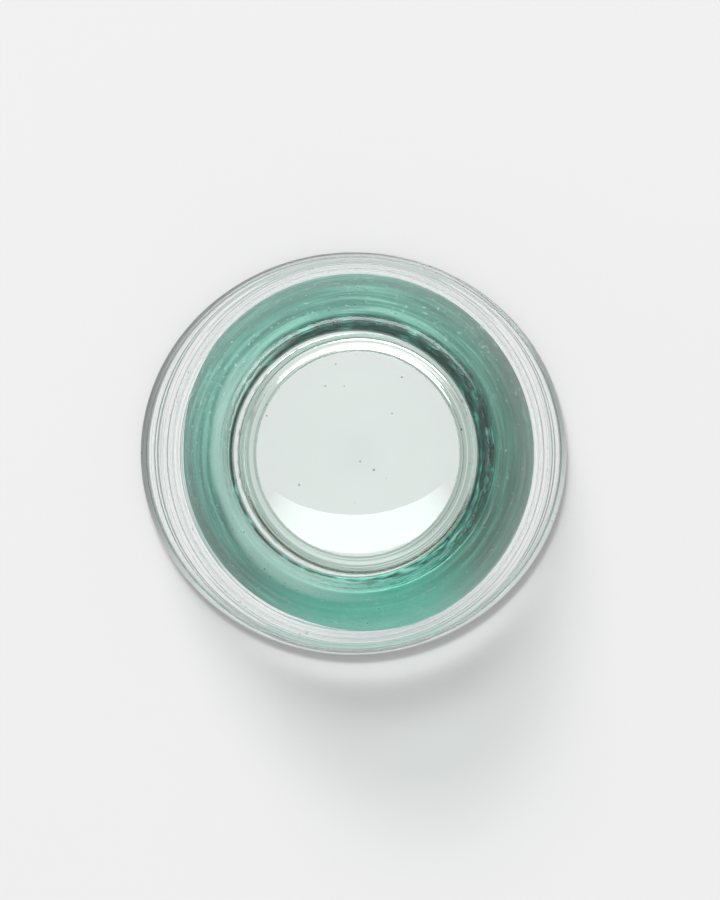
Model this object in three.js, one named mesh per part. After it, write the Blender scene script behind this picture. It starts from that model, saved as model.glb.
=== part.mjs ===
// A multi-part pressed-glass pin insulator that stands upright on its petticoat.
// Units are millimetres. +Z runs up the axis, and z = 0 is the flat foot of the petticoat.
//
// From the outside inwards the pieces are:
//   head_shell        colourless glass: crown, tie-wire groove and umbrella skirt
//   umbrella_bedding  thin clear layer that beds the umbrella on the petticoat
//   petticoat_shell   aqua-green glass bell that the part stands on
//   joint_ring        dark green ring that closes the joint round the thread sleeve
//   sleeve_bedding    thin clear layer between the thread sleeve and the petticoat
//   thread_sleeve     colourless glass sleeve with the pin thread

import * as THREE from 'three';
import { mergeVertices } from 'three/addons/utils/BufferGeometryUtils.js';

// ---- Driving dimensions ------------------------------------------------------------

const HEIGHT = 92;              // foot to crown
const RIM_RADIUS = 55;          // umbrella rim along X, its long way across
const RIM_OVAL = 0.945;         // umbrella rim along Y, as a share of its size along X
const BODY_OVAL = 1.01;         // everything inside the umbrella's lower skirt, along Y
const OVAL_START = 46;          // radius at which the skirt starts to turn oval
const RIM_HEIGHT = 1;           // underside of the umbrella rim above the foot

const CROWN_RADIUS = 28;
const DOME_CURVATURE = 72;      // radius of curvature of the gently domed top
const DOME_EDGE = 24;           // the dome ends here and the crown's bevelled edge begins
const GROOVE_RADIUS = 21.9;     // bottom of the tie-wire groove
const GROOVE_HEIGHT = 69.8;

const PIN_HOLE_RADIUS = 17.5;   // at the thread's roots, for a 35 mm (1 3/8 inch) pin
const THREAD_DEPTH = 1.5;
const THREAD_PITCH = 6.35;      // four threads to the inch
const THREAD_RUN_OUT = 3;       // the thread fades away over this length at each end
const PIN_HOLE_MOUTH = 12;      // bottom of the thread sleeve
const THREAD_TOP = 44;          // above this the hole widens into a chamber over the pin's end
const LAND_HEIGHT = 57;         // flat underside of the head, on top of the thread sleeve
const END_CURVATURE = 50;       // the hole's closed end bulges down into it like a lens
const END_RADIUS = 22.5;
const END_FLAT_RADIUS = 5;      // greatest radius of the flat spot in the middle of that bulge

const SLEEVE_RADIUS = 29;
const JOINT_BOTTOM = 44;        // the joint ring stands on the petticoat's inner ledge
const JOINT_RADIUS = 31.6;
const PETTICOAT_RADIUS = 40.8;
const PETTICOAT_WALL = 5.4;
const FOOT_OUTER_RADIUS = 39.2; // the flat foot lies between these two radii
const FOOT_INNER_RADIUS = 37.2;
const LEDGE_BOTTOM = 15;        // underside of the petticoat's inner ledge
const BEDDING = 0.5;            // thickness of the layer between umbrella and petticoat
const SLEEVE_BEDDING = 1;       // thickness of the layer round the thread sleeve
const GAP = 0.3;                // clearance left between neighbouring pieces

const RIPPLE_COUNT = 4;         // fine moulded rings round the lower skirt
const RIPPLE_DEPTH = 0.2;
const POINTS_PER_RIPPLE = 2;

const SEGMENTS = 44;            // facets round the axis
const SLOPE_PIECES = 3;         // facets down the slope that the umbrella and petticoat share
const MERGE_DISTANCE = 1e-4;

// ---- Outlines: points (radius, height) of a section --------------------------------

const at = (radius, height) => new THREE.Vector2(radius, height);

// A smooth line through the given points, without its first point.
function smooth(points, pieces) {
  return new THREE.SplineCurve(points).getPoints(pieces).slice(1);
}

// A spherical cap: points outwards from the axis, bulging up (+1) or down (-1).
function cap(curvature, edgeRadius, edgeHeight, bulge, pieces) {
  const drop = Math.sqrt(curvature ** 2 - edgeRadius ** 2);
  return Array.from({ length: pieces + 1 }, (_, i) => {
    const radius = (edgeRadius * i) / pieces;
    return at(radius, edgeHeight + bulge * (Math.sqrt(curvature ** 2 - radius ** 2) - drop));
  });
}

// A smooth line down the lower skirt with shallow rings standing out of it.
function ripples(points) {
  const steps = RIPPLE_COUNT * POINTS_PER_RIPPLE;
  const skirt = new THREE.SplineCurve(points);
  return Array.from({ length: steps }, (_, i) => {
    const share = (i + 1) / steps;
    const wave = (1 - Math.cos(2 * Math.PI * RIPPLE_COUNT * share)) / 2;
    const along = skirt.getTangent(share);
    return skirt.getPoint(share).addScaledVector(at(-along.y, along.x), RIPPLE_DEPTH * wave);
  });
}

// ---- Solids of revolution ----------------------------------------------------------

// How much a point at this radius is scaled along Y: the umbrella's rim is not quite round.
function ovalScale(radius) {
  const share = THREE.MathUtils.smoothstep(radius, OVAL_START, RIM_RADIUS);
  return THREE.MathUtils.lerp(BODY_OVAL, RIM_OVAL, share);
}

// Triangles that touch the axis twice have no area, and are left out.
function withoutFlatTriangles(geometry) {
  const kept = [];
  const index = geometry.getIndex().array;
  for (let i = 0; i < index.length; i += 3) {
    const [a, b, c] = index.slice(i, i + 3);
    if (a !== b && b !== c && c !== a) {
      kept.push(a, b, c);
    }
  }
  geometry.setIndex(kept);
  return geometry;
}

// Turns an outline round the Z axis. reshape may move each point in or out first.
function revolve(outline, reshape = (radius) => radius) {
  const lathe = new THREE.LatheGeometry(outline, SEGMENTS);
  lathe.deleteAttribute('normal');
  lathe.deleteAttribute('uv');
  lathe.rotateX(Math.PI / 2);
  const solid = withoutFlatTriangles(mergeVertices(lathe, MERGE_DISTANCE));
  const position = solid.getAttribute('position');
  for (let i = 0; i < position.count; i += 1) {
    const angle = Math.atan2(position.getY(i), position.getX(i));
    const height = position.getZ(i);
    const radius = reshape(Math.hypot(position.getX(i), position.getY(i)), angle, height);
    position.setX(i, radius * Math.cos(angle));
    position.setY(i, radius * Math.sin(angle) * ovalScale(radius));
  }
  solid.computeVertexNormals();
  return solid;
}

function closed(outline) {
  return [...outline, outline[0].clone()];
}

// The slope where the umbrella, its bedding and the petticoat meet, from the top down.
function sharedSlope() {
  return [
    at(32.8, 56.4),
    at(36, 52),
    at(39.2, 46.8),
    at(41.8, 41),
  ];
}

// ---- Head shell --------------------------------------------------------------------

// Crown, groove, saddle ledge and umbrella in one pressing, with the closed end of the pin hole.
function headShell() {
  const domeDrop = DOME_CURVATURE - Math.sqrt(DOME_CURVATURE ** 2 - DOME_EDGE ** 2);
  const dome = cap(DOME_CURVATURE, DOME_EDGE, HEIGHT - domeDrop, 1, 3);
  const skirtTop = at(46.2, 40.4);
  const skirtEnd = at(53, 8.5);
  const rimEnd = at(51.9, RIM_HEIGHT + 0.9);
  const crownToSkirt = smooth([
    dome.at(-1),
    at(26.3, 86.8),
    at(27.7, 85.1),
    at(CROWN_RADIUS, 82.6),
    at(27.5, 79.8),
    at(26, 76.6),
    at(23.8, 73.4),
    at(GROOVE_RADIUS, GROOVE_HEIGHT),
    at(22.3, 66.2),
    at(24.4, 63.4),
    at(27.6, 62.5),
    at(31, 62.3),
    at(32.4, 61.9),
    at(33.8, 60.5),
    at(38.2, 54.6),
    at(42.5, 47.8),
    skirtTop,
  ], 16);
  const skirt = ripples([
    skirtTop,
    at(49.5, 29.6),
    at(51.9, 18),
    skirtEnd,
  ]);
  const rim = smooth([
    skirtEnd,
    at(53.4, 6.4),
    at(54.3, 5),
    at(RIM_RADIUS, 2.8),
    at(54.2, RIM_HEIGHT),
    at(52.8, RIM_HEIGHT),
    rimEnd,
  ], 6);
  const underside = smooth([
    rimEnd,
    at(50.3, 10.6),
    at(47.7, 22.6),
    at(44.8, 32.6),
    ...sharedSlope().reverse(),
    at(30.8, LAND_HEIGHT),
  ], 8);
  const closedEnd = cap(END_CURVATURE, END_RADIUS, LAND_HEIGHT, -1, 5).reverse();
  const flatSpot = closedEnd.findIndex((point) => point.x <= END_FLAT_RADIUS);
  const bulge = closedEnd.slice(0, flatSpot + 1);
  const flatCentre = at(0, bulge.at(-1).y);
  return revolve([
    ...dome,
    ...crownToSkirt,
    ...skirt,
    ...rim,
    ...underside,
    ...bulge,
    flatCentre,
  ].reverse());
}

// ---- Petticoat and its beddings ----------------------------------------------------

// The shared slope, moved away from the umbrella at right angles to itself.
function slope(offset, pieces) {
  const curve = new THREE.SplineCurve(sharedSlope());
  return curve.getPoints(pieces).map((point, i) => {
    const along = curve.getTangent(i / pieces);
    return point.clone().add(at(along.y, -along.x).multiplyScalar(offset));
  });
}

// The thin layer between the umbrella and the petticoat.
function umbrellaBedding() {
  return revolve(closed([...slope(GAP + BEDDING, SLOPE_PIECES), ...slope(GAP, SLOPE_PIECES).reverse()]));
}

// A green bell: sloped shoulder, straight skirt, flat foot and an inner ledge round the sleeve.
function petticoatShell() {
  const shoulder = slope(2 * GAP + BEDDING, SLOPE_PIECES);
  const outside = smooth([
    shoulder.at(-1),
    at(PETTICOAT_RADIUS + 0.1, 34),
    at(PETTICOAT_RADIUS, 18),
    at(PETTICOAT_RADIUS, 3),
    at(PETTICOAT_RADIUS - 0.5, 0.8),
    at(FOOT_OUTER_RADIUS, 0),
  ], 5);
  const inside = smooth([
    at(FOOT_INNER_RADIUS, 0),
    at(FOOT_INNER_RADIUS - 1.2, 0.8),
    at(PETTICOAT_RADIUS - PETTICOAT_WALL, 3),
    at(35.2, 9),
    at(34.2, 13),
    at(32.4, LEDGE_BOTTOM),
  ], 5);
  const boreRadius = SLEEVE_RADIUS + 2 * GAP + SLEEVE_BEDDING;
  return revolve(closed([
    at(JOINT_RADIUS + GAP, JOINT_BOTTOM - GAP),
    at(boreRadius, JOINT_BOTTOM - GAP),
    at(boreRadius, LEDGE_BOTTOM + 1),
    at(boreRadius + 0.8, LEDGE_BOTTOM),
    ...inside.reverse(),
    at(FOOT_INNER_RADIUS, 0),
    ...outside.reverse(),
    ...shoulder.reverse(),
  ]));
}

// The ring seen from above as a dark band between the crown and the petticoat's shoulder.
function jointRing() {
  const top = LAND_HEIGHT - GAP;
  return revolve(closed([
    at(SLEEVE_RADIUS + GAP, JOINT_BOTTOM),
    at(JOINT_RADIUS, JOINT_BOTTOM),
    at(JOINT_RADIUS, top - 0.9),
    at(JOINT_RADIUS - 0.8, top),
    at(SLEEVE_RADIUS + GAP, top),
  ]));
}

// The thin layer round the thread sleeve, below the joint ring.
function sleeveBedding() {
  const inner = SLEEVE_RADIUS + GAP;
  return revolve(closed([
    at(inner, LEDGE_BOTTOM + 1),
    at(inner + SLEEVE_BEDDING, LEDGE_BOTTOM + 1),
    at(inner + SLEEVE_BEDDING, JOINT_BOTTOM - GAP),
    at(inner, JOINT_BOTTOM - GAP),
  ]));
}

// ---- Thread sleeve -----------------------------------------------------------------

// How far the thread stands into the hole at this angle and height.
function threadHeight(angle, height) {
  const turn = height / THREAD_PITCH - angle / (2 * Math.PI);
  const wave = (1 + Math.cos(2 * Math.PI * turn)) / 2;
  const fromMouth = (height - PIN_HOLE_MOUTH) / THREAD_RUN_OUT;
  const fromEnd = (THREAD_TOP - height) / THREAD_RUN_OUT;
  const fade = THREE.MathUtils.clamp(Math.min(fromMouth, fromEnd), 0, 1);
  return THREAD_DEPTH * wave * fade;
}

// A threaded tube that widens at the top into the chamber over the pin's end.
function threadSleeve() {
  const top = LAND_HEIGHT - GAP;
  const rings = 22;
  const wall = Array.from({ length: rings + 1 }, (_, i) => {
    return at(PIN_HOLE_RADIUS, THREE.MathUtils.lerp(THREAD_TOP, PIN_HOLE_MOUTH, i / rings));
  });
  const outline = closed([
    at(END_RADIUS + GAP, top),
    at(END_RADIUS, 54.4),
    at(19.6, 48.4),
    ...wall,
    at(SLEEVE_RADIUS - 0.8, PIN_HOLE_MOUTH),
    at(SLEEVE_RADIUS, PIN_HOLE_MOUTH + 1),
    at(SLEEVE_RADIUS, top),
  ]);
  return revolve(outline, (radius, angle, height) => {
    const onWall = radius < PIN_HOLE_RADIUS + GAP;
    return onWall ? radius - threadHeight(angle, height) : radius;
  });
}

// ---- Materials and assembly --------------------------------------------------------

const glass = (color, roughness, opacity) => new THREE.MeshStandardMaterial({
  color,
  roughness,
  metalness: 0,
  transparent: true,
  opacity,
});

function piece(name, geometry, material) {
  const mesh = new THREE.Mesh(geometry, material);
  mesh.name = name;
  return mesh;
}

const clearGlass = glass('#dbe3de', 0.03, 0.35);
const greenGlass = glass('#7fb8a6', 0.2, 0.6);
const darkGreenGlass = glass('#2a4f47', 0.25, 0.9);
const clearBedding = glass('#c6d8cf', 0.5, 0.5);

const insulator = new THREE.Group();
insulator.name = 'pin_insulator';
insulator.add(
  piece('head_shell', headShell(), clearGlass),
  piece('umbrella_bedding', umbrellaBedding(), clearBedding),
  piece('petticoat_shell', petticoatShell(), greenGlass),
  piece('joint_ring', jointRing(), darkGreenGlass),
  piece('sleeve_bedding', sleeveBedding(), clearBedding),
  piece('thread_sleeve', threadSleeve(), clearGlass),
);

export default insulator;
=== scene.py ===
"""A glass pin insulator: the visual model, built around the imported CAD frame.

Every piece is a body of glass turned round the Z axis. Each one replaces the faceted CAD solid of
the same name with a fine, slightly uneven pressed surface. Outlines are in millimetres.
"""
import math

import bpy
import numpy as np
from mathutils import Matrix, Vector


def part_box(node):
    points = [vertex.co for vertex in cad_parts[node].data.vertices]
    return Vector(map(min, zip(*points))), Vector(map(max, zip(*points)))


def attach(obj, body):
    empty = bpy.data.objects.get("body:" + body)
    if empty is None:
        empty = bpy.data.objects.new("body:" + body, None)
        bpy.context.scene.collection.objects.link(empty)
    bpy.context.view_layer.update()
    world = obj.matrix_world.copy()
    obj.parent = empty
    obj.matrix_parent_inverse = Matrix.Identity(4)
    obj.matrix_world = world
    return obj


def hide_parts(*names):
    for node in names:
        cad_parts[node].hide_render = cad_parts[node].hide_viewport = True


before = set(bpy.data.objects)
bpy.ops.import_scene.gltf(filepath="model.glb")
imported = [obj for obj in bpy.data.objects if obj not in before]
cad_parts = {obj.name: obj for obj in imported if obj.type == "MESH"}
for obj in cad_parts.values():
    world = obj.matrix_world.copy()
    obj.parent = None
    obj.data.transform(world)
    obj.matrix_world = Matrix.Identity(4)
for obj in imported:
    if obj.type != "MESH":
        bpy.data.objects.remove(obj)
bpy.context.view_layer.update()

# ---- Sizes in millimetres; the height is read from the CAD head's box ------------------------

MM = 0.001
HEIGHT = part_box("head_shell")[1].z / MM
RIM_RADIUS = 55.0
RIM_OVAL = 0.945          # the umbrella's rim along Y, as a share of its size along X
BODY_OVAL = 1.01          # everything inside the lower skirt, along Y
OVAL_START = 46.0         # radius at which the skirt starts to turn oval

DOME_CURVATURE = 72.0
DOME_EDGE = 24.0
GROOVE_RADIUS = 21.9
END_CURVATURE = 50.0      # the closed end of the pin hole bulges down like a lens
END_RADIUS = 22.5
LAND = 57.0               # flat underside of the head that closes the pin hole
SKIRT_TOP = (46.2, 40.4)  # (radius, height) where the slope turns into the skirt, outside
SKIRT_END = (53.0, 8.5)   # and where the skirt turns into the rim's bead
RIM_END = (51.9, 1.9)     # inner corner of the rim

SLEEVE_RADIUS = 29.0
SLEEVE_MOUTH = 12.0
THREAD_ROOT = 17.5
THREAD_DEPTH = 1.5
THREAD_PITCH = 6.35
THREAD_TOP = 44.0
THREAD_RUN_OUT = 3.0

GAP = 0.3                 # between neighbouring pieces
JOINT_INNER = 29.3
JOINT_OUTER = 31.6
JOINT_BOTTOM = 44.0
BORE = 30.6               # radius of the petticoat's bore
LEDGE_BOTTOM = 15.0       # underside of the petticoat's inner ledge
BEDDING_TOP = 0.4         # the umbrella's bedding lies between these two depths below the slope
BEDDING_BOTTOM = 0.7
SHOULDER_DEPTH = 1.1      # the petticoat's shoulder below the slope

AROUND = 288              # faces round the axis
ON_AXIS = 1e-6            # a smaller radius counts as a point on the axis

# ---- Camera: its place in metres, its lens in millimetres ------------------------------------

CAMERA_PLACE = (-0.012, 0.0009, 0.899)
CAMERA_AIM_X = 0.00165    # where its axis meets the table
FOCAL_LENGTH = 138.8
SENSOR_WIDTH = 36


# ---- Outlines: lists of (radius, height) -----------------------------------------------------

def smooth(points, pieces):
    """A Catmull-Rom curve through the points, with this many faces from one to the next."""
    ends = [points[0], *points, points[-1]]
    curve = []
    for a, b, c, d in zip(ends, ends[1:], ends[2:], ends[3:]):
        a, b, c, d = (np.array(point, float) for point in (a, b, c, d))
        for step in range(pieces):
            t = step / pieces
            curve.append(0.5 * (2 * b + (c - a) * t + (2 * a - 5 * b + 4 * c - d) * t ** 2
                                + (3 * b - a - 3 * c + d) * t ** 3))
    curve.append(np.array(points[-1], float))
    return curve


def cap(curvature, edge_radius, edge_height, bulge, pieces):
    """A spherical cap from the axis outwards, bulging up (1) or down (-1)."""
    drop = math.sqrt(curvature ** 2 - edge_radius ** 2)
    radii = [edge_radius * step / pieces for step in range(pieces + 1)]
    return [np.array((r, edge_height + bulge * (math.sqrt(curvature ** 2 - r ** 2) - drop)))
            for r in radii]


def normals(outline, closed):
    """A unit normal at each point of an outline, to the left of its direction."""
    points = np.array(outline)
    if closed:
        along = np.roll(points, -1, 0) - np.roll(points, 1, 0)
    else:
        along = np.gradient(points, axis=0)
    along /= np.linalg.norm(along, axis=1)[:, None] + 1e-12
    return np.stack([-along[:, 1], along[:, 0]], 1)


def beside(outline, distance):
    """The outline moved to the right of its direction by a distance."""
    return list(np.array(outline) - normals(outline, False) * distance)


# The slope where the umbrella lies on the petticoat, from the top down.
SLOPE = [(32.8, 56.4), (36.0, 52.0), (39.2, 46.8), (41.8, 41.0)]


# ---- Surfaces of revolution ------------------------------------------------------------------

def oval(radius):
    """How much a point at this radius is scaled along Y: the rim is not quite round."""
    share = np.clip((radius - OVAL_START) / (RIM_RADIUS - OVAL_START), 0, 1)
    return BODY_OVAL + (RIM_OVAL - BODY_OVAL) * share * share * (3 - 2 * share)


def revolve(name, outline, material, relief=None, closed=True, lean=None):
    """Turns an outline round Z.

    relief(radius, height, angle) moves the surface outwards along its normal, in mm.
    lean(radius, height, angle) adds to the radius, for a piece that is not centred.
    """
    points = np.array(outline, float)
    angle = np.linspace(0, 2 * math.pi, AROUND, endpoint=False)[None, :]
    radius = np.repeat(points[:, :1], AROUND, 1)
    height = np.repeat(points[:, 1:], AROUND, 1)
    if relief is not None:
        out = normals(points, closed)
        lift = relief(radius, height, np.repeat(angle, len(points), 0))
        lift = np.where(radius < ON_AXIS, 0, lift)
        radius = radius + out[:, :1] * lift
        height = height + out[:, 1:] * lift
    if lean is not None:
        radius = radius + lean(radius, height, np.repeat(angle, len(points), 0))
    x = radius * np.cos(angle)
    y = radius * np.sin(angle) * oval(radius)
    rings = []
    corners = []
    for row in range(len(points)):
        if points[row, 0] < ON_AXIS:
            rings.append([len(corners)] * AROUND)
            corners.append((0, 0, height[row, 0] * MM))
        else:
            rings.append(range(len(corners), len(corners) + AROUND))
            corners.extend(zip(x[row] * MM, y[row] * MM, height[row] * MM))
    faces = []
    for row in range(len(rings) if closed else len(rings) - 1):
        low, high = rings[row], rings[(row + 1) % len(rings)]
        for step in range(AROUND):
            following = (step + 1) % AROUND
            face = (low[step], high[step], high[following], low[following])
            face = tuple(dict.fromkeys(face))
            if len(face) > 2:
                faces.append(face)
    mesh = bpy.data.meshes.new(name)
    mesh.from_pydata(corners, [], faces)
    mesh.update()
    mesh.shade_smooth()
    mesh.materials.append(material)
    piece = bpy.data.objects.new(name, mesh)
    bpy.context.scene.collection.objects.link(piece)
    return piece


# ---- Unevenness of pressed glass ---------------------------------------------------------------

def waves(seed, count, longest, shortest, turns, height):
    """A smooth random surface: waves along the outline that drift as they go round the axis."""
    draw = np.random.default_rng(seed)
    parts = []
    for _ in range(count):
        length = longest * (shortest / longest) ** draw.random()
        parts.append((2 * math.pi / length, int(draw.integers(0, turns + 1)),
                      2 * math.pi * draw.random(), draw.normal()))
    scale = height / math.sqrt(count)

    def surface(along, angle):
        total = np.zeros_like(angle)
        for number, turn, phase, size in parts:
            total += scale * size * np.cos(number * along + turn * angle + phase)
        return total
    return surface


def between(value, low, high, soft):
    """1 where the value lies between low and high, fading to 0 over the soft distance."""
    rise = np.clip((value - low) / soft, 0, 1)
    fall = np.clip((high - value) / soft, 0, 1)
    return rise * rise * (3 - 2 * rise) * fall * fall * (3 - 2 * fall)


# ---- Node helpers ------------------------------------------------------------------------------

def new_material(name):
    material = bpy.data.materials.new(name)
    material.use_nodes = True
    material.node_tree.nodes.clear()
    return material, material.node_tree


def node(tree, kind, **inputs):
    """A node with values or links for its inputs, which are named with _ for a space."""
    made = tree.nodes.new(kind)
    for name, value in inputs.items():
        socket = made.inputs[name.replace("_", " ")]
        if isinstance(value, bpy.types.NodeSocket):
            tree.links.new(value, socket)
        else:
            socket.default_value = value
    return made


def maths(tree, operation, a, b=0.0, c=0.0):
    made = tree.nodes.new("ShaderNodeMath")
    made.operation = operation
    for socket, value in zip(made.inputs, (a, b, c)):
        if isinstance(value, bpy.types.NodeSocket):
            tree.links.new(value, socket)
        else:
            socket.default_value = value
    return made.outputs[0]


def object_point(tree):
    return node(tree, "ShaderNodeTexCoord").outputs["Object"]


def radius_of(tree):
    """The distance from the axis."""
    x, y, _ = node(tree, "ShaderNodeSeparateXYZ", Vector=object_point(tree)).outputs
    return maths(tree, "SQRT", maths(tree, "ADD", maths(tree, "MULTIPLY", x, x),
                                     maths(tree, "MULTIPLY", y, y)))


def towards(tree, angle):
    """How far a point lies towards an angle round the axis: 1 there, -1 on the other side.

    0 degrees is +X, the right in the main view; 90 is +Y, the back; and -90 is the front.
    """
    x, y, _ = node(tree, "ShaderNodeSeparateXYZ", Vector=object_point(tree)).outputs
    turned = maths(tree, "ADD", maths(tree, "MULTIPLY", x, math.cos(math.radians(angle))),
                   maths(tree, "MULTIPLY", y, math.sin(math.radians(angle))))
    return maths(tree, "DIVIDE", turned, radius_of(tree))


def spots(tree, scale):
    """The distance to the nearest of many scattered points, in cells of the given scale."""
    cells = node(tree, "ShaderNodeTexVoronoi", Vector=object_point(tree), Scale=scale)
    return cells.outputs["Distance"]


def ring_point(tree, around, across):
    """A point for noise drawn out into rings: around sets its detail round the axis."""
    x, y, z = node(tree, "ShaderNodeSeparateXYZ", Vector=object_point(tree)).outputs
    radius = radius_of(tree)
    turned_x = maths(tree, "MULTIPLY", maths(tree, "DIVIDE", x, radius), around)
    turned_y = maths(tree, "MULTIPLY", maths(tree, "DIVIDE", y, radius), around)
    depth = maths(tree, "MULTIPLY", maths(tree, "SUBTRACT", radius, z), across)
    joined = node(tree, "ShaderNodeCombineXYZ", X=turned_x, Y=turned_y, Z=depth)
    return joined.outputs[0]


def noise(tree, point, scale, detail=3.0, roughness=0.5):
    made = node(tree, "ShaderNodeTexNoise", Vector=point, Scale=scale, Detail=detail,
                Roughness=roughness)
    return made.outputs["Fac"]


def ramp(tree, value, stops):
    """A colour ramp; stops are (position, colour) pairs."""
    made = node(tree, "ShaderNodeValToRGB", Fac=value)
    elements = made.color_ramp.elements
    while len(elements) < len(stops):
        elements.new(0.5)
    for element, (position, colour) in zip(elements, stops):
        element.position = position
        element.color = (*colour, 1)
    return made.outputs["Color"]


def grey(value):
    return (value, value, value)


def mix_colour(tree, share, first, second):
    made = tree.nodes.new("ShaderNodeMix")
    made.data_type = "RGBA"
    sockets = [made.inputs[0], *(socket for socket in made.inputs if socket.type == "RGBA")]
    for socket, value in zip(sockets, (share, first, second)):
        if isinstance(value, bpy.types.NodeSocket):
            tree.links.new(value, socket)
        else:
            socket.default_value = (*value, 1) if socket.type == "RGBA" else value
    return next(socket for socket in made.outputs if socket.type == "RGBA")


def mix_shader(tree, share, first, second):
    mix = tree.nodes.new("ShaderNodeMixShader")
    if isinstance(share, bpy.types.NodeSocket):
        tree.links.new(share, mix.inputs[0])
    else:
        mix.inputs[0].default_value = share
    tree.links.new(first, mix.inputs[1])
    tree.links.new(second, mix.inputs[2])
    return mix.outputs[0]


def product(tree, first, second):
    """One colour times another, channel by channel; the second may be plain numbers."""
    made = tree.nodes.new("ShaderNodeVectorMath")
    made.operation = "MULTIPLY"
    tree.links.new(first, made.inputs[0])
    if isinstance(second, bpy.types.NodeSocket):
        tree.links.new(second, made.inputs[1])
    else:
        made.inputs[1].default_value = second
    return made.outputs[0]


def height_of(tree):
    """The height above the foot."""
    return node(tree, "ShaderNodeSeparateXYZ", Vector=object_point(tree)).outputs["Z"]


def heights(tree, stops):
    """A colour by height above the foot; stops are (height in mm, colour) pairs."""
    return ramp(tree, maths(tree, "DIVIDE", height_of(tree), HEIGHT * MM),
                [(height / HEIGHT, colour) for height, colour in stops])


def share_of(tree, value, low, high):
    """How far a value lies from low, 0, to high, 1."""
    return maths(tree, "MULTIPLY_ADD", value, 1 / (high - low), -low / (high - low))


def radii(tree, span, stops):
    """A colour by distance from the axis, up to a span in mm; stops are (radius in mm, colour)."""
    return ramp(tree, maths(tree, "DIVIDE", radius_of(tree), span * MM),
                [(radius / span, colour) for radius, colour in stops])


def lamp_light_through(tree, shader):
    """Lets the sky's light and the key lamp's straight through a glass shader.

    Glancing light is dimmed, and so is light through the rim's lowest part, close above the floor.
    On the front the lamp also loses light low on the umbrella, where the real wall bends it away.
    """
    slant = node(tree, "ShaderNodeLayerWeight", Blend=0.5).outputs["Facing"]
    soft = ramp(tree, slant, [(0, grey(0.985)), (0.75, grey(0.97)), (1, grey(0.7))])
    edge = ramp(tree, slant, [(0, grey(0.99)), (0.75, grey(0.95)), (1, grey(0.4))])
    wall = heights(tree, [(2.2, grey(0.05)), (2.8, grey(1)), (8, grey(1)), (12, grey(0.6)),
                          (17, grey(0.6)), (21, grey(0.78)), (28, grey(0.90)), (45, grey(0.94)),
                          (60, grey(0.96))])
    around = heights(tree, [(2.2, grey(0.05)), (2.8, grey(0.95))])
    front = ramp(tree, towards(tree, -78), [(0.6, grey(0)), (0.95, grey(1))])
    wall = mix_colour(tree, front, around, wall)
    foot = heights(tree, [(2.0, grey(0.6)), (3.0, grey(1))])
    from_sky = node(tree, "ShaderNodeBsdfTransparent", Color=product(tree, soft, foot))
    from_sky = from_sky.outputs[0]
    from_lamp = node(tree, "ShaderNodeBsdfTransparent", Color=product(tree, edge, wall))
    path = node(tree, "ShaderNodeLightPath")
    lit = mix_shader(tree, path.outputs["Is Diffuse Ray"], shader, from_sky)
    return mix_shader(tree, path.outputs["Is Shadow Ray"], lit, from_lamp.outputs[0])


def output(tree, surface, volume=None):
    out = node(tree, "ShaderNodeOutputMaterial", Surface=surface)
    if volume is not None:
        tree.links.new(volume, out.inputs["Volume"])


# ---- Materials ---------------------------------------------------------------------------------

GLASS_IOR = 1.5
WET_SLOPE = 1.62          # mm of height lost for each mm of radius down the slope
WET_LINE = 113.0          # height plus WET_SLOPE times radius, midway through the umbrella's wall
WET_INNER = 31.9          # smallest radius that the bedding reaches
WET_BOTTOM = 41.0         # height where it ends
WET_LIFT = 3.0            # how much higher it ends on the side where it falls short
WET_BEND = 0.04           # what is left of the bending of light where it lies
WHITE = (1.0, 1.0, 1.0)
# Colours of painted shade lines on the clear glass
SHADE_LINE_TEAL = (0.18, 0.34, 0.31)
SHADE_LINE_STONE = (0.50, 0.58, 0.56)
SHADE_LINE_BROWN = (0.10, 0.08, 0.06)


def clear_glass(name, tint, density, line_shade_and_seeds=None):
    """Colourless glass with a faint cast in its depth.

    A colour function, if given, paints lines of shade and seeds into it. Where that colour is dark,
    the glass hardly bends light, so a painted line stays crisp; where the bedding wets it, no air
    lies behind it and it bends none either.
    """
    material, tree = new_material(name)
    polish = noise(tree, ring_point(tree, around=3.0, across=400.0), scale=1.0)
    gloss = maths(tree, "MULTIPLY", polish, 0.03)
    glass = node(tree, "ShaderNodeBsdfPrincipled", Base_Color=(1, 1, 1, 1), Roughness=gloss,
                 IOR=GLASS_IOR, Transmission_Weight=1.0)
    if line_shade_and_seeds is not None:
        colour = line_shade_and_seeds(tree)
        tree.links.new(colour, glass.inputs["Base Color"])
        dark = node(tree, "ShaderNodeSeparateXYZ", Vector=colour).outputs["X"]
        bend = ramp(tree, dark, [(0.35, grey(0.1)), (0.75, grey(1))])
        bend = maths(tree, "MULTIPLY", bend, against_air(tree))
        tree.links.new(maths(tree, "MULTIPLY_ADD", bend, GLASS_IOR - 1, 1.0), glass.inputs["IOR"])
    depth = node(tree, "ShaderNodeVolumeAbsorption", Color=(*tint, 1), Density=density)
    surface = lamp_light_through(tree, glass.outputs[0])
    output(tree, surface, depth.outputs[0])
    return material


def against_air(tree):
    """1 on the head's free faces and almost 0 on the slope that the clear bedding wets.

    The umbrella's two faces are told apart by their radius and height: WET_LINE lies between them.
    The bedding stops higher on one side.
    """
    height = height_of(tree)
    radius = radius_of(tree)
    under = maths(tree, "LESS_THAN", maths(tree, "MULTIPLY_ADD", radius, WET_SLOPE, height),
                  WET_LINE * MM)
    outer = maths(tree, "GREATER_THAN", radius, WET_INNER * MM)
    lifted = ramp(tree, towards(tree, 215), [(0.3, grey(0)), (0.8, grey(1))])
    bottom = maths(tree, "MULTIPLY_ADD", lifted, WET_LIFT * MM, WET_BOTTOM * MM)
    above = maths(tree, "GREATER_THAN", height, bottom)
    wet = maths(tree, "MULTIPLY", under, maths(tree, "MULTIPLY", outer, above))
    return maths(tree, "MULTIPLY_ADD", wet, WET_BEND - 1, 1.0)


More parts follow.
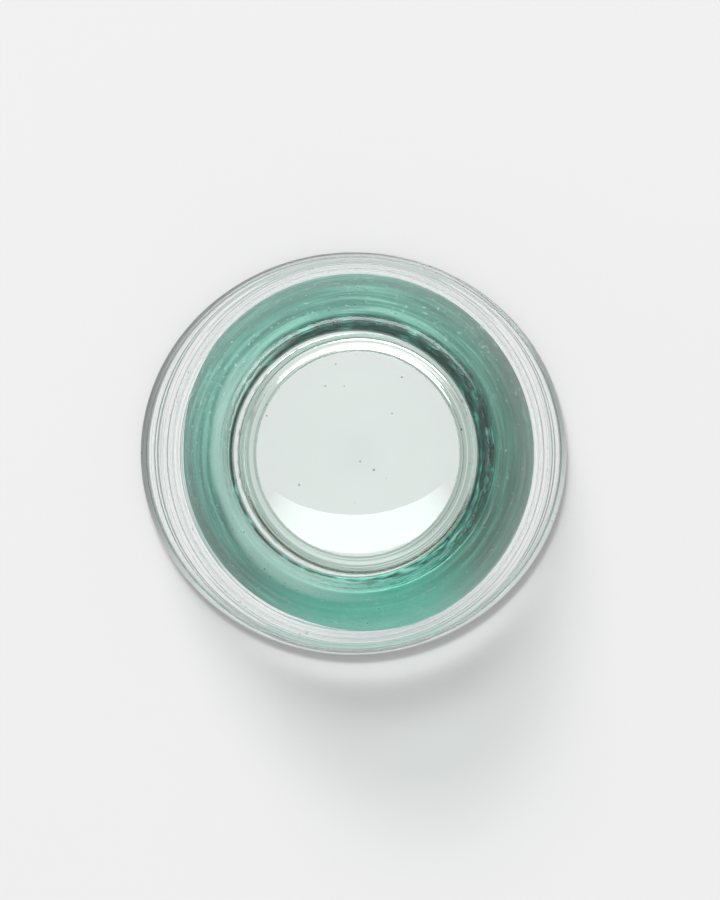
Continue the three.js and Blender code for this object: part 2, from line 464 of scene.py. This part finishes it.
def painted_shade_and_seeds(tree):
    """Painted shade and real seeds: dark rings round the umbrella and the crown that stand in for the
    lines its ridges bend light into, a bead painted grey at the back left, a painted shade line under
    the crown's front, and fine seeds.
    """
    # Painted shade: dark rings at these heights stand in for the dark lines that the ridged skirt and
    # slope bend light into.
    rings = heights(tree, [(0, WHITE), (6, WHITE),
                           (6.4, SHADE_LINE_TEAL), (7.2, SHADE_LINE_TEAL), (8, WHITE),
                           (19, WHITE), (20, SHADE_LINE_STONE), (21, WHITE),
                           (24.6, WHITE), (25.4, SHADE_LINE_TEAL), (26.6, SHADE_LINE_TEAL),
                           (27.4, WHITE),
                           (34, WHITE), (34.8, SHADE_LINE_STONE), (35.6, WHITE),
                           (38, WHITE), (38.6, SHADE_LINE_STONE), (39.2, WHITE),
                           (42, WHITE), (42.4, SHADE_LINE_STONE), (42.8, WHITE)])
    # Painted shade: the rim's bead is painted grey towards the back left and nearly white towards the
    # front.
    bead = ramp(tree, towards(tree, 130), [(0, (0.92, 0.98, 0.96)), (0.8, (0.58, 0.63, 0.61))])
    on_bead = heights(tree, [(4.8, grey(1)), (5.8, grey(0))])
    rings = mix_colour(tree, on_bead, rings, bead)
    # Painted shade: fine grey rings on the crown's edge, where its slope breaks.
    crown = radii(tree, 30, [(23.85, grey(1)), (24.05, grey(0.8)), (24.25, grey(1)),
                             (25.0, grey(1)), (25.2, grey(0.9)), (25.4, grey(1)),
                             (26.0, grey(1)), (26.2, grey(0.88)), (26.4, grey(1))])
    # Painted shade: a dark brown line painted under the crown's front edge.
    front_shade_line = heights(tree, [(84.2, WHITE), (84.8, SHADE_LINE_BROWN), (85.8, SHADE_LINE_BROWN), (86.3, WHITE)])
    front = ramp(tree, towards(tree, -90), [(0.1, grey(0)), (0.5, grey(1))])
    front_shade_line = mix_colour(tree, front, WHITE, front_shade_line)
    seeds = ramp(tree, spots(tree, scale=230.0), [(0.045, grey(0.3)), (0.07, grey(1))])
    return product(tree, product(tree, rings, crown), product(tree, front_shade_line, seeds))


def shoulder_streaks(tree, across, grain):
    """The petticoat's light and dark: streaks drawn round it, grain, and zones across its slope."""
    streaks = noise(tree, ring_point(tree, around=1.6, across=330.0), scale=1.0, detail=4.0,
                    roughness=0.55)
    mixed = maths(tree, "ADD", maths(tree, "MULTIPLY", streaks, 0.9),
                  maths(tree, "MULTIPLY", grain, 0.1))
    zone = ramp(tree, share_of(tree, across, low=30, high=40),
                [(0.0, grey(0.62)), (0.12, grey(0.7)), (0.34, grey(0.62)), (0.40, grey(0.40)),
                 (0.48, grey(0.44)), (0.54, grey(0.66)), (0.62, grey(0.42)), (0.86, grey(0.32)),
                 (0.97, grey(0.36))])
    return maths(tree, "ADD", mixed, maths(tree, "MULTIPLY_ADD", zone, 0.5, -0.25))


def pale_light_and_bubble_share(tree, across):
    """Where the green glass is pale: painted light by the joint on the left, and its real pale
    bubbles.
    """
    inside = ramp(tree, share_of(tree, across, low=31, high=41),
                  [(0.05, grey(0.9)), (0.18, grey(0.8)), (0.33, grey(0))])
    left = ramp(tree, towards(tree, 205), [(0.2, grey(0)), (0.75, grey(1))])
    bubbles = ramp(tree, spots(tree, scale=450.0), [(0.07, grey(0.7)), (0.11, grey(0))])
    return maths(tree, "MAXIMUM", product(tree, inside, left), bubbles)


def green_glass():
    """Satin aqua-green glass: streaks drawn round it, fine grain, small pale bubbles; painted shade
    on its sides, painted light at its back and by the joint on the left, and a painted glow on its
    front.
    """
    material, tree = new_material("green_glass")
    grain = noise(tree, object_point(tree), scale=2600.0, detail=2.0)
    drift = noise(tree, object_point(tree), scale=22.0, detail=2.0)
    wander = maths(tree, "MULTIPLY_ADD", drift, 5.0, -2.5)
    across = maths(tree, "MULTIPLY_ADD", radius_of(tree), 1 / MM, wander)
    mixed = shoulder_streaks(tree, across, grain)
    colour = ramp(tree, mixed, [(0.36, (0.02, 0.19, 0.15)), (0.5, (0.07, 0.36, 0.29)),
                                (0.64, (0.24, 0.64, 0.53))])
    glow = ramp(tree, mixed, [(0.36, (0.02, 0.34, 0.27)), (0.5, (0.07, 0.54, 0.43)),
                              (0.64, (0.26, 0.80, 0.67))])
    # Painted shade: the green is darkened on its right and on its left towards the front.
    right = ramp(tree, towards(tree, 0), [(0.2, grey(1)), (0.9, (0.40, 0.75, 0.68))])
    left = ramp(tree, towards(tree, 212), [(0.3, grey(1)), (0.9, (0.6, 0.75, 0.76))])
    side_shade = product(tree, right, left)
    colour = product(tree, colour, side_shade)
    glow = product(tree, glow, side_shade)
    # Painted light: a bright saturated green glow painted on the front, where light passes through.
    front = ramp(tree, towards(tree, -86), [(0.7, grey(0)), (0.95, grey(0.6))])
    colour = mix_colour(tree, front, colour, (0.04, 0.82, 0.64))
    glow = mix_colour(tree, front, glow, (0.05, 0.85, 0.66))
    # Painted light: the back is painted brighter.
    back = ramp(tree, towards(tree, 118), [(0.0, grey(0)), (0.7, grey(1))])
    colour = mix_colour(tree, back, colour, product(tree, colour, (1.35, 1.18, 1.18)))
    # Painted light: pale green by the joint on the left, and the real pale of the bubbles.
    pale = pale_light_and_bubble_share(tree, across)
    colour = mix_colour(tree, pale, colour, (0.66, 0.93, 0.86))
    glow = mix_colour(tree, pale, glow, (0.60, 0.85, 0.78))
    gloss = maths(tree, "ADD", maths(tree, "MULTIPLY", grain, 0.2), 0.3)
    bump = node(tree, "ShaderNodeBump", Strength=0.25, Distance=0.0002, Height=grain)
    glass = node(tree, "ShaderNodeBsdfPrincipled", Base_Color=colour, Roughness=gloss, IOR=1.45,
                 Specular_IOR_Level=0.05, Transmission_Weight=0.45, Normal=bump.outputs[0])
    through = node(tree, "ShaderNodeBsdfTranslucent", Color=glow)
    surface = mix_shader(tree, 0.35, glass.outputs[0], through.outputs[0])
    depth = node(tree, "ShaderNodeVolumeAbsorption", Color=(0.35, 0.85, 0.72, 1), Density=35.0)
    output(tree, surface, depth.outputs[0])
    return material


def dark_green_glass():
    """Deep bottle green with thin brighter threads drawn round it; painted light makes the threads
    brighter on its front and the outside pale on its left.
    """
    material, tree = new_material("dark_green_glass")
    threads = noise(tree, ring_point(tree, around=5.0, across=1300.0), scale=1.0, roughness=0.6)
    # Painted light: the threads are painted brighter on the front, as a glow.
    front = ramp(tree, towards(tree, -80), [(0.5, grey(0)), (0.95, grey(0.16))])
    threads = maths(tree, "ADD", threads, front)
    colour = ramp(tree, threads, [(0.40, (0.004, 0.035, 0.025)), (0.56, (0.015, 0.10, 0.075)),
                                  (0.66, (0.08, 0.40, 0.32)), (0.74, (0.30, 0.75, 0.64))])
    # Painted light: the outside is painted pale on the left.
    outside = radii(tree, 40, [(30.7, grey(0)), (31.0, grey(1))])
    left = ramp(tree, towards(tree, 200), [(0.1, grey(0)), (0.7, grey(1))])
    colour = mix_colour(tree, product(tree, outside, left), colour, (0.52, 0.70, 0.62))
    bump = node(tree, "ShaderNodeBump", Strength=0.6, Distance=0.0004, Height=threads)
    glass = node(tree, "ShaderNodeBsdfPrincipled", Base_Color=colour, Roughness=0.18, IOR=1.45,
                 Specular_IOR_Level=0.1, Transmission_Weight=0.35, Normal=bump.outputs[0])
    depth = node(tree, "ShaderNodeVolumeAbsorption", Color=(0.12, 0.68, 0.60, 1), Density=120.0)
    output(tree, glass.outputs[0], depth.outputs[0])
    return material


def clear_bedding():
    """A film of clear cement with cloudy specks: most of it lets light straight through."""
    material, tree = new_material("clear_bedding")
    cloud = noise(tree, object_point(tree), scale=900.0, detail=2.0)
    share = maths(tree, "MULTIPLY", maths(tree, "SUBTRACT", cloud, 0.62), 2.5)
    share = maths(tree, "MAXIMUM", share, 0.02)
    film = node(tree, "ShaderNodeBsdfPrincipled", Base_Color=(0.55, 0.75, 0.67, 1), Roughness=0.5)
    clear = node(tree, "ShaderNodeBsdfTransparent", Color=(0.99, 1.0, 0.995, 1))
    output(tree, mix_shader(tree, share, clear.outputs[0], film.outputs[0]))
    return material


# ---- The six pieces ----------------------------------------------------------------------------

def stands_for(piece, cad_node):
    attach(piece, "root")
    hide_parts(cad_node)


def inside_head(piece, cad_node):
    """A piece inside the head, which is seen but leaves the light on the floor alone."""
    piece.visible_shadow = False
    piece.visible_diffuse = False
    stands_for(piece, cad_node)


def head_outline():
    """The head's section from the crown's middle, down the outside and back up the underside."""
    dome_centre = HEIGHT - DOME_CURVATURE
    dome_edge_height = dome_centre + math.sqrt(DOME_CURVATURE ** 2 - DOME_EDGE ** 2)
    dome = cap(DOME_CURVATURE, DOME_EDGE, dome_edge_height, bulge=1, pieces=24)
    crown = [dome[-1], (25.4, 87.3), (26.6, 86.6), (27.4, 85.8), (27.9, 84.4), (28.0, 82.6)]
    groove = [(27.5, 79.8), (26.0, 76.6), (23.8, 73.4), (GROOVE_RADIUS, 69.8), (22.3, 66.2)]
    ledge = [(24.4, 63.4), (27.6, 62.5), (31, 62.3), (32.4, 61.9), (33.8, 60.5)]
    slope = [(38.2, 54.6), (42.5, 47.8), SKIRT_TOP]
    outside = smooth([*crown, *groove, *ledge, *slope], 10)
    skirt = smooth([SKIRT_TOP, (49.5, 29.6), (51.9, 18.0), SKIRT_END], 30)
    rim = smooth([SKIRT_END, (53.4, 6.4), (54.3, 5.0), (54.9, 3.6), (RIM_RADIUS, 2.6), (54.8, 1.6),
                  (54.2, 1), (52.8, 1), RIM_END], 8)
    underside = smooth([RIM_END, (50.3, 10.6), (47.7, 22.6), (44.8, 32.6), *SLOPE[::-1],
                        (31.8, 56.85), (30.8, LAND)], 10)
    end = cap(END_CURVATURE, END_RADIUS, LAND, bulge=-1, pieces=26)[::-1]
    return dome + outside[1:] + skirt[1:] + rim[1:] + underside[1:] + end


def head_relief():
    """Shallow moulding rings on the skirt and slope, fine ones on the crown's edge."""
    skirt_rings = waves(seed=3, count=5, longest=12.0, shortest=5.0, turns=0, height=0.07)
    slope_rings = waves(seed=5, count=6, longest=9.0, shortest=5.0, turns=2, height=0.07)
    crown_rings = waves(seed=8, count=6, longest=2.2, shortest=1.0, turns=1, height=0.006)
    dome_drift = waves(seed=11, count=5, longest=40.0, shortest=15.0, turns=3, height=0.03)
    skirt_fall = 3.25
    wall = 1.5

    def relief(radius, height, angle):
        outside = height > SKIRT_TOP[1] - (radius - SKIRT_TOP[0]) * skirt_fall - wall
        along = radius - height
        lift = skirt_rings(along, angle) * between(height, 7, 44, 4) * outside
        lift = lift + slope_rings(along, angle) * between(radius, 33.5, 47, 2) * outside
        lift = lift + crown_rings(along, angle) * between(radius, 24, 29, 0.6) * (height > 75)
        return lift + dome_drift(along, angle) * between(radius, -1, 24, 3) * (height > 82)
    return relief


def head_shell():
    material = clear_glass("clear_glass", tint=(0.3, 0.9, 0.65), density=3.0,
                           line_shade_and_seeds=painted_shade_and_seeds)
    piece = revolve("head_glass", head_outline(), material, head_relief(), closed=False)
    stands_for(piece, "head_shell")


def petticoat_shell():
    shoulder = beside(smooth([*SLOPE, (42.6, 38.6)], 10), SHOULDER_DEPTH)
    outside = smooth([shoulder[-1], (41.0, 34), (40.8, 18), (40.8, 3), (40.3, 0.8), (39.2, 0)], 8)
    inside = smooth([(37.2, 0), (36.0, 0.8), (35.4, 3), (35.2, 9), (34.2, 13),
                     (32.4, LEDGE_BOTTOM)], 8)
    joint_seat = JOINT_BOTTOM - GAP
    outline = [(JOINT_OUTER + GAP, joint_seat), (BORE, joint_seat), (BORE, LEDGE_BOTTOM + 1),
               (31.4, LEDGE_BOTTOM), *inside[::-1], *outside[::-1], *shoulder[-2:4:-1],
               (32.5, 56.2), (JOINT_OUTER + GAP, 56.4)]

    def petticoat_lean(radius, height, angle):
        wall = between(radius, 31.5, 33, 0.4) * (height > 43)
        return joint_lean(JOINT_OUTER, height, angle) * wall
    piece = revolve("petticoat_glass", outline, green_glass(), lean=petticoat_lean)
    inside_head(piece, "petticoat_shell")


def joint_lean(radius, height, angle):
    """The joint is wider on the right and behind than on the left."""
    outer = 0.42 * np.cos(angle - math.radians(30)) - 0.2
    inner = 0.45 * (1 - np.cos(angle - math.radians(10)))
    share = np.clip((radius - JOINT_INNER) / (JOINT_OUTER - JOINT_INNER), 0, 1)
    return (inner + (outer - inner) * share) * between(radius, 29, 33, 0.3)


def joint_ring():
    ragged = waves(seed=17, count=16, longest=60.0, shortest=30.0, turns=90, height=0.16)
    wall = [(JOINT_OUTER, JOINT_BOTTOM + 0.5 + step) for step in range(12)]
    outline = [(JOINT_INNER, JOINT_BOTTOM), (JOINT_OUTER, JOINT_BOTTOM), *wall,
               (31.5, 56.5), (31.3, 56.7), (30.5, 56.7), (29.6, 56.7), (JOINT_INNER, 56.5)]

    def relief(radius, height, angle):
        outside = between(radius, 31, 32.2, 0.2) * (height > 46)
        return np.minimum(ragged(height, angle), 0.1) * outside
    piece = revolve("joint_ring_glass", outline, dark_green_glass(), relief, lean=joint_lean)
    inside_head(piece, "joint_ring")


def umbrella_bedding():
    slope = smooth(SLOPE, 10)
    outline = beside(slope, BEDDING_TOP) + beside(slope, BEDDING_BOTTOM)[::-1]
    piece = revolve("umbrella_bedding_film", outline, clear_bedding())
    inside_head(piece, "umbrella_bedding")


def sleeve_bedding():
    inner = SLEEVE_RADIUS + GAP
    outer = BORE - GAP
    bottom = LEDGE_BOTTOM + 1
    top = JOINT_BOTTOM - GAP
    outline = [(inner, bottom), (outer, bottom), (outer, top), (inner, top)]
    piece = revolve("sleeve_bedding_film", outline, clear_bedding())
    inside_head(piece, "sleeve_bedding")


def thread_sleeve():
    faces = 200
    chamber = smooth([(22.8, LAND - GAP), (22.5, 54.4), (19.6, 48.4), (17.8, 45.2),
                      (THREAD_ROOT, THREAD_TOP)], 8)
    wall = [(THREAD_ROOT, THREAD_TOP + (SLEEVE_MOUTH - THREAD_TOP) * step / faces)
            for step in range(faces + 1)]
    outline = [*chamber[:-1], *wall, (28.2, SLEEVE_MOUTH), (SLEEVE_RADIUS, SLEEVE_MOUTH + 1),
               (SLEEVE_RADIUS, LAND - GAP)]

    def relief(radius, height, angle):
        turn = height / THREAD_PITCH - angle / (2 * math.pi)
        to_end = np.minimum(height - SLEEVE_MOUTH, THREAD_TOP - height)
        fade = np.clip(to_end / THREAD_RUN_OUT, 0, 1)
        ridge = THREAD_DEPTH * fade * (1 + np.cos(2 * math.pi * turn)) / 2
        return np.where(radius < THREAD_ROOT + 0.01, ridge, 0)
    material = clear_glass("clear_glass_sleeve", tint=(0.2, 0.9, 0.6), density=1.5)
    piece = revolve("thread_sleeve_glass", outline, material, relief)
    inside_head(piece, "thread_sleeve")


# ---- Floor, light and camera -------------------------------------------------------------------

def floor():
    half = 16.0
    mesh = bpy.data.meshes.new("floor")
    mesh.from_pydata([(-half, -half, 0), (half, -half, 0), (half, half, 0), (-half, half, 0)],
                     [], [(0, 1, 2, 3)])
    material, tree = new_material("floor_paper")
    soft = noise(tree, object_point(tree), scale=3.0)
    colour = ramp(tree, soft, [(0.3, grey(0.65)), (0.7, grey(0.66))])
    paper = node(tree, "ShaderNodeBsdfPrincipled", Base_Color=colour, Roughness=0.9,
                 Specular_IOR_Level=0.1)
    output(tree, paper.outputs[0])
    mesh.materials.append(material)
    sheet = bpy.data.objects.new("floor", mesh)
    bpy.context.scene.collection.objects.link(sheet)


def sky():
    """A pale studio: bright overhead, dimmer low down, on the right and straight above."""
    world = bpy.data.worlds.new("studio")
    world.use_nodes = True
    world.cycles.sampling_method = "NONE"
    tree = world.node_tree
    split = node(tree, "ShaderNodeSeparateXYZ",
                 Vector=node(tree, "ShaderNodeTexCoord").outputs["Generated"])
    x, _, z = split.outputs
    up = ramp(tree, z, [(0.0, grey(0.5)), (0.45, grey(0.5)), (0.55, grey(0.85)),
                        (0.97, grey(0.85)), (0.99, grey(0.5))])
    across = maths(tree, "MULTIPLY_ADD", x, 0.5, 0.5)
    side = ramp(tree, across, [(0.0, grey(0.8)), (0.2, grey(0.85)), (0.4, grey(1.0)),
                               (0.6, grey(1.0)), (0.8, grey(0.65)), (1.0, grey(0.6))])
    background = tree.nodes["Background"]
    tree.links.new(product(tree, up, side), background.inputs["Color"])
    background.inputs["Strength"].default_value = 1.0
    bpy.context.scene.world = world


def soft_panel(name, high, low, left, share, radiance):
    """A panel facing the object between two slants from straight up, in degrees, that fades out
    at its two ends. left turns it from +Y towards -X, and share is its width by its distance.
    """
    distance = 9.0
    high, low, left = (math.radians(angle) for angle in (high, low, left))
    slant = (high + low) / 2
    width = share * distance
    tall = 2 * distance * math.tan((low - high) / 2)
    panel = bpy.data.lights.new(name, "AREA")
    panel.shape = "RECTANGLE"
    panel.size = width
    panel.size_y = tall
    panel.energy = radiance * width * tall * math.pi
    panel.use_nodes = True
    tree = panel.node_tree
    place = node(tree, "ShaderNodeNewGeometry").outputs["Parametric"]
    split = node(tree, "ShaderNodeSeparateXYZ", Vector=place)
    ends = ramp(tree, split.outputs["X"], [(0.02, grey(0)), (0.3, grey(1)), (0.7, grey(1)),
                                           (0.98, grey(0))])
    tree.links.new(ends, tree.nodes["Emission"].inputs["Color"])
    lamp = bpy.data.objects.new(name, panel)
    lamp.location = (-distance * math.sin(left) * math.sin(slant),
                     distance * math.cos(left) * math.sin(slant), distance * math.cos(slant))
    lamp.rotation_mode = "QUATERNION"
    lamp.rotation_quaternion = lamp.location.to_track_quat("Z", "Y")
    bpy.context.scene.collection.objects.link(lamp)
    return lamp


def lights():
    """A key that lights the surfaces, and a wide panel that only the glass mirrors."""
    key = soft_panel("key", high=40, low=50, left=16, share=0.5, radiance=52.0)
    key.data.cycles.use_multiple_importance_sampling = False
    key.visible_glossy = False
    key.visible_transmission = False
    gleam = soft_panel("gleam", high=43, low=76, left=3, share=4.0, radiance=6.5)
    gleam.visible_diffuse = False


def camera():
    """Straight above, a little left of the axis, looking down."""
    data = bpy.data.cameras.new("camera")
    data.lens = FOCAL_LENGTH
    data.sensor_width = SENSOR_WIDTH
    data.clip_start = 0.05
    view = bpy.data.objects.new("camera", data)
    bpy.context.scene.collection.objects.link(view)
    bpy.context.scene.camera = view
    view.location = CAMERA_PLACE
    view.rotation_euler = (0, -math.atan2(CAMERA_AIM_X - CAMERA_PLACE[0], CAMERA_PLACE[2]), 0)


def render_settings():
    scene = bpy.context.scene
    scene.view_settings.view_transform = "Standard"
    scene.cycles.max_bounces = 28
    scene.cycles.transmission_bounces = 28
    scene.cycles.glossy_bounces = 16
    scene.cycles.transparent_max_bounces = 32
    scene.cycles.caustics_refractive = False
    scene.cycles.caustics_reflective = False
    scene.cycles.use_denoising = True


floor()
sky()
lights()
camera()
render_settings()
head_shell()
umbrella_bedding()
petticoat_shell()
joint_ring()
sleeve_bedding()
thread_sleeve()
